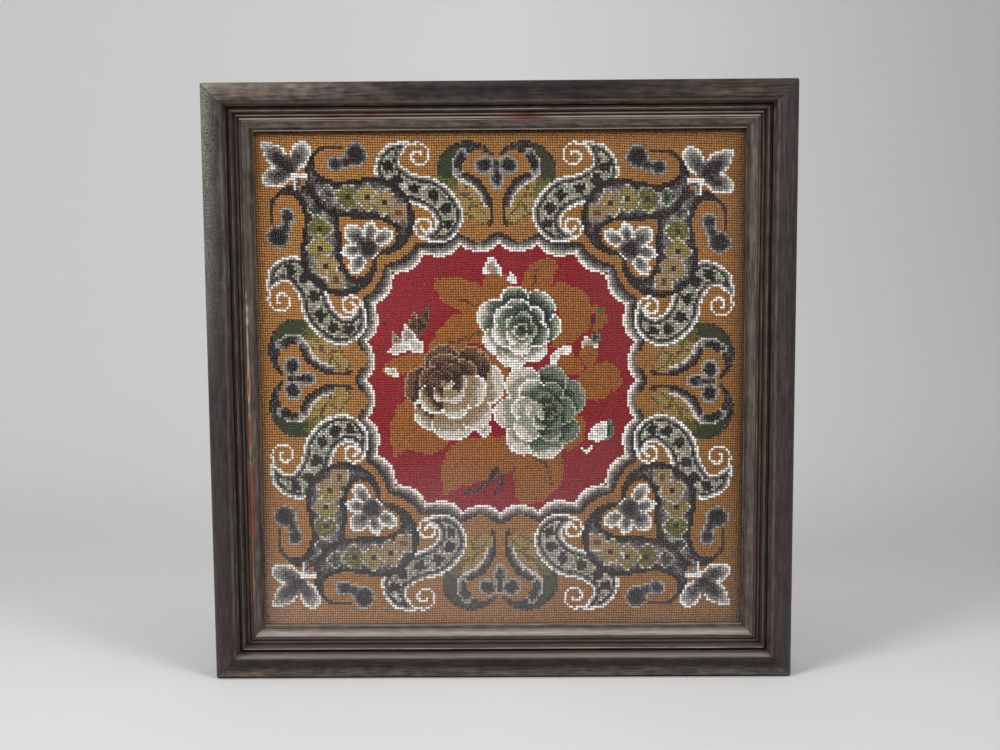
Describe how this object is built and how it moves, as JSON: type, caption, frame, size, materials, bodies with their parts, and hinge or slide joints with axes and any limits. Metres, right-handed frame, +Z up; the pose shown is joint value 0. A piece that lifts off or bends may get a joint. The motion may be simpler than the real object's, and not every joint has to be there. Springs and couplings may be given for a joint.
{
  "type": "framed beadwork panel: glazed bead and wool embroidery in a moulded wooden frame",
  "caption": "Square panel of bead and wool embroidery under glass, in a dark mitred wooden moulding, standing upright on its bottom edge.",
  "frame": {"origin": "middle of the frame's bottom face, where the part stands: halfway across its width and its depth", "axes": "+Z up the face, -Y out of the face towards the viewer, +X along the bottom rail to the viewer's right"},
  "size_m": [0.465, 0.042, 0.476],
  "materials": {
    "frame_wood": "ebonised, satin, worn to red-brown on the arrises",
    "glazing": "clear",
    "beadwork": "wool tent stitch and small glass beads on canvas",
    "board": "bare, matte"
  },
  "bodies": {
    "root": {"rail_top": "frame_wood", "rail_bottom": "frame_wood", "rail_left": "frame_wood", "rail_right": "frame_wood", "glass_pane": "glazing", "beadwork_panel": "beadwork", "backing_board": "board"}
  },
  "joints": []
}
